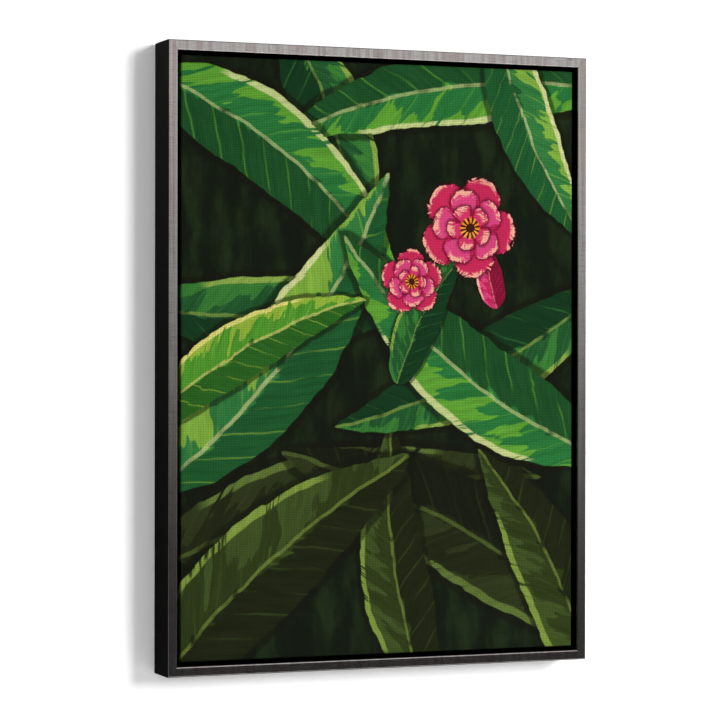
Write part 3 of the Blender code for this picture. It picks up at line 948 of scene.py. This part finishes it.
@dataclass
class Staples:
    """Wire staples that hold the cloth's folded strip, and the brace, to the bars."""

    crown: float = 11 * MM
    wire_radius: float = 0.55 * MM
    bend: float = 0.8 * MM
    leg: float = 0.9 * MM  # how deep the legs are modelled into the bar
    from_edge: float = 18 * MM
    pitch: float = 52 * MM
    lean_degrees: float = 9.0
    brace_shares: tuple[float, float] = (0.28, 0.72)  # places across the brace's end
    brace_lean_degrees: float = 12.0

    def __post_init__(self) -> None:
        """Makes the staples' steel."""
        self.steel = PlatedSteel("galvanised_staple_wire", "#C9CBCC", "#8F9294", 0.3).make()

    def outline(self) -> list[Vector]:
        """One staple's bent wire, lying on its surface with its legs driven in."""
        half, bend = self.crown / 2, self.bend
        right = [
            (half - bend, bend * 0.5), (half - bend * 0.3, bend * 0.3),
            (half, -bend * 0.2), (half, -self.leg),
        ]
        left = [(-x, y) for x, y in reversed(right)]
        return [Vector((x, y, 0)) for x, y in left + right]

    def build(self, name: str, places: list[tuple[Vector, float]]) -> None:
        """Builds a row of staples as one piece.

        Args:
            name: The piece's name.
            places: Each staple's middle on its surface, and its turn in degrees.
        """
        curve = bpy.data.curves.new(name, "CURVE")
        curve.dimensions = "3D"
        curve.bevel_depth = self.wire_radius
        curve.bevel_resolution = 2
        curve.use_fill_caps = True
        outline = self.outline()
        for middle, turn in places:
            spin = Matrix.Rotation(math.radians(turn), 4, "Y")
            points = curve.splines.new("POLY").points
            points.add(len(outline) - 1)
            for point, offset in zip(points, outline):
                point.co = (*(middle + spin @ offset), 1)
        row = show(name, curve)
        dress(row, self.steel)
        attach(row, BODY)
        LOG.info("%s: %d staples", name, len(places))

    def along_side(self, side: str, cloth: StretchedCanvas) -> None:
        """Staples along the strip on one side of the cloth, each leaning a little.

        Args:
            side: Which side.
            cloth: The stretched cloth.
        """
        level = side in ("top", "bottom")
        sign = 1 if side in ("top", "right") else -1
        middle, half = cloth.middle, cloth.half
        span = (half.x if level else half.z) - 1.6 * self.from_edge
        out = sign * ((half.z if level else half.x) - self.from_edge)
        count = round(2 * span / self.pitch)
        places = []
        for number in range(count + 1):
            along = -span + 2 * span * number / count
            lean = self.lean_degrees * math.sin(5.1 * number + sign)
            x, z = (along, out) if level else (out, along)
            place = Vector((middle.x + x, cloth.high.y, middle.z + z))
            places.append((place, lean if level else 90 + lean))
        self.build(f"canvas_staples_{side}", places)

    def on_brace(self) -> None:
        """Two staples over each end of the brace, into the bars beside it."""
        low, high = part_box("cross_brace")
        places = []
        for x in (low.x, high.x):
            for share in self.brace_shares:
                place = Vector((x, high.y, low.z + share * (high.z - low.z)))
                places.append((place, self.brace_lean_degrees * (share - 0.5)))
        self.build("brace_staples", places)


@dataclass
class Fixings:
    """Screws, the hanger with its nails, and the bumpers."""

    def dress(self) -> None:
        """Gives the fixings their finishes."""
        zinc = PlatedSteel("bright_zinc_plate", "#C4C6C7", "#93979B", 0.28).make()
        nail = PlatedSteel("bright_nail_steel", "#B4B5B6", "#85878A", 0.35).make()
        pad = SoftBumper().make()
        finishes = {"frame_screw": zinc, "sawtooth": zinc, "hanger_nail": nail, "bumper": pad}
        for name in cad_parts:
            for start, material in finishes.items():
                if name.startswith(start):
                    dress(node(name), material)
        LOG.info("fixings dressed")


# ---------------------------------------------------------------------------- the stage


@dataclass
class Studio:
    """The white wall and floor, the soft light, and the camera."""

    low: Vector
    high: Vector
    azimuth: float = 21.503
    pitch: float = 0.157
    roll: float = 0.089
    lens: float = 133.8
    aim: tuple = (0.0278, 3.1664, 0.0015)  # the picture's middle, seen from the camera
    wall_gap: float = 0.2 * MM
    hung: float = 1.15  # the picture's lower edge above the floor
    reach: float = 9.0
    fill: float = 0.42  # how much of the room's light falls on things
    wall: str = "#F6F6F6"
    floor: str = "#EDEDED"
    room_above: str = "#FFFFFF"
    room_below: str = "#2C2C2C"

    @property
    def middle(self) -> Vector:
        """The picture's middle."""
        return (self.low + self.high) / 2

    def camera(self) -> None:
        """Stands the camera to the left of the picture, level with its middle."""
        turns = ((self.roll, "Y"), (self.pitch, "X"), (self.azimuth, "Z"))
        roll, pitch, azimuth = (Matrix.Rotation(math.radians(a), 3, axis) for a, axis in turns)
        back = (roll @ pitch @ azimuth).transposed()
        right, ahead, up = back.col
        stand = Matrix((right, up, -ahead)).transposed().to_4x4()
        front = Vector((self.middle.x, self.low.y, self.middle.z))
        stand.translation = front - back @ Vector(self.aim)
        data = bpy.data.cameras.new("camera")
        data.lens = self.lens
        camera = show("camera", data)
        camera.matrix_world = stand
        bpy.context.scene.camera = camera

    def plane(self, name: str, place: Matrix, material: bpy.types.Material) -> None:
        """A flat square of the stage.

        Args:
            name: Its name.
            place: Where its middle is and how it is turned.
            material: Its paint.
        """
        mesh = bpy.data.meshes.new(name)
        shape = bmesh.new()
        bmesh.ops.create_grid(shape, x_segments=1, y_segments=1, size=self.reach / 2)
        shape.to_mesh(mesh)
        shape.free()
        mesh.materials.append(material)
        made = show(name, mesh)
        made.matrix_world = place
        made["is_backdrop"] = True

    def paint(self, name: str, colour: str, lift: float, one_sided: bool) -> bpy.types.Material:
        """Matt stage paint, lifted to plain white where it is lit.

        Args:
            name: The material's name.
            colour: The paint.
            lift: How much light the camera and metal see on top of what falls there.
            one_sided: Whether it vanishes from behind and lets lamps through.

        Returns:
            The material.
        """
        s = Surface(name)
        rays = s.add("LightPath").node.outputs
        seen = s.add("Math", rays["Is Camera Ray"], rays["Is Glossy Ray"], **LARGER)
        seen = s.add("Math", seen, rays["Is Transmission Ray"], **LARGER)
        glow = s.add("Emission", srgb("#FFFFFF"), s.add("Math", seen, lift, **TIMES))
        both = s.add("AddShader", s.add("BsdfDiffuse", srgb(colour)), glow)
        if one_sided:
            behind = s.add("NewGeometry").node.outputs["Backfacing"]
            gone = s.add("Math", behind, rays["Is Shadow Ray"], **LARGER)
            both = s.add("MixShader", gone, both, s.add("BsdfTransparent"))
        return s.done(both)

    def lamp(self, name: str, offset: tuple, size: float, power: float, mirrored: bool) -> None:
        """A square soft lamp aimed at the picture's middle.

        Args:
            name: The lamp's name.
            offset: Where it stands from the picture's middle.
            size: The length of its side.
            power: Its power in watts.
            mirrored: Whether metal mirrors it.
        """
        data = bpy.data.lights.new(name, "AREA")
        data.shape = "SQUARE"
        data.size = size
        data.energy = power
        made = show(name, data)
        away = Vector(offset)
        made.location = self.middle + away
        made.rotation_euler = away.to_track_quat("Z", "Y").to_euler()
        made.visible_glossy = mirrored

    def room(self) -> None:
        """A room that metal sees as bright above eye level and dark below it."""
        world = bpy.data.worlds.new("studio")
        bpy.context.scene.world = world
        world.use_nodes = True
        w = Wiring(world.node_tree)
        w.tree.nodes.clear()
        towards = w.add("TexCoord").node.outputs["Generated"]
        up = w.add("VectorMath", towards, (0.1, 0.0, 1.0), operation="DOT_PRODUCT")
        rise = w.add("MapRange", up, -0.07, 0.2, **SMOOTH)
        tone = w.add("Mix", rise, srgb(self.room_below), srgb(self.room_above), **COLOUR)
        rays = w.add("LightPath").node.outputs
        tone = w.add("Mix", rays["Is Camera Ray"], tone, srgb("#FFFFFF"), **COLOUR)
        seen = w.add("Math", rays["Is Glossy Ray"], rays["Is Camera Ray"], **LARGER)
        level = w.add("MapRange", seen, 0.0, 1.0, self.fill, 1.0)
        w.add("OutputWorld", w.add("Background", tone, level))

    def build(self) -> None:
        """Builds the stage."""
        wall = self.paint("white_wall_paint", self.wall, 0.14, one_sided=True)
        floor = self.paint("pale_floor", self.floor, 0.1, one_sided=False)
        here = Matrix.Translation((self.middle.x, self.high.y + self.wall_gap, self.middle.z))
        self.plane("wall", here @ Matrix.Rotation(math.radians(90), 4, "X"), wall)
        self.plane("floor", Matrix.Translation((0, 0, self.low.z - self.hung)), floor)
        self.lamp("key_softbox", (2.8, -5.2, 1.4), 1.9, 350, mirrored=False)
        self.lamp("back_fill", (-1.2, 2.4, 1.4), 1.6, 60, mirrored=True)
        self.room()
        self.camera()
        bpy.context.scene.view_settings.view_transform = "Standard"
        LOG.info("stage set")


def main() -> None:
    """Builds the picture's looks and its stage, piece by piece."""
    logging.basicConfig(level=logging.INFO)
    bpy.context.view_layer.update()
    FloaterFrame().dress()
    StretcherBars().dress()
    cloth = StretchedCanvas()
    cloth.build()
    staples = Staples()
    for side in SIDES:
        staples.along_side(side, cloth)
    staples.on_brace()
    Fixings().dress()
    Studio(*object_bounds()).build()


if __name__ == "__main__":
    main()
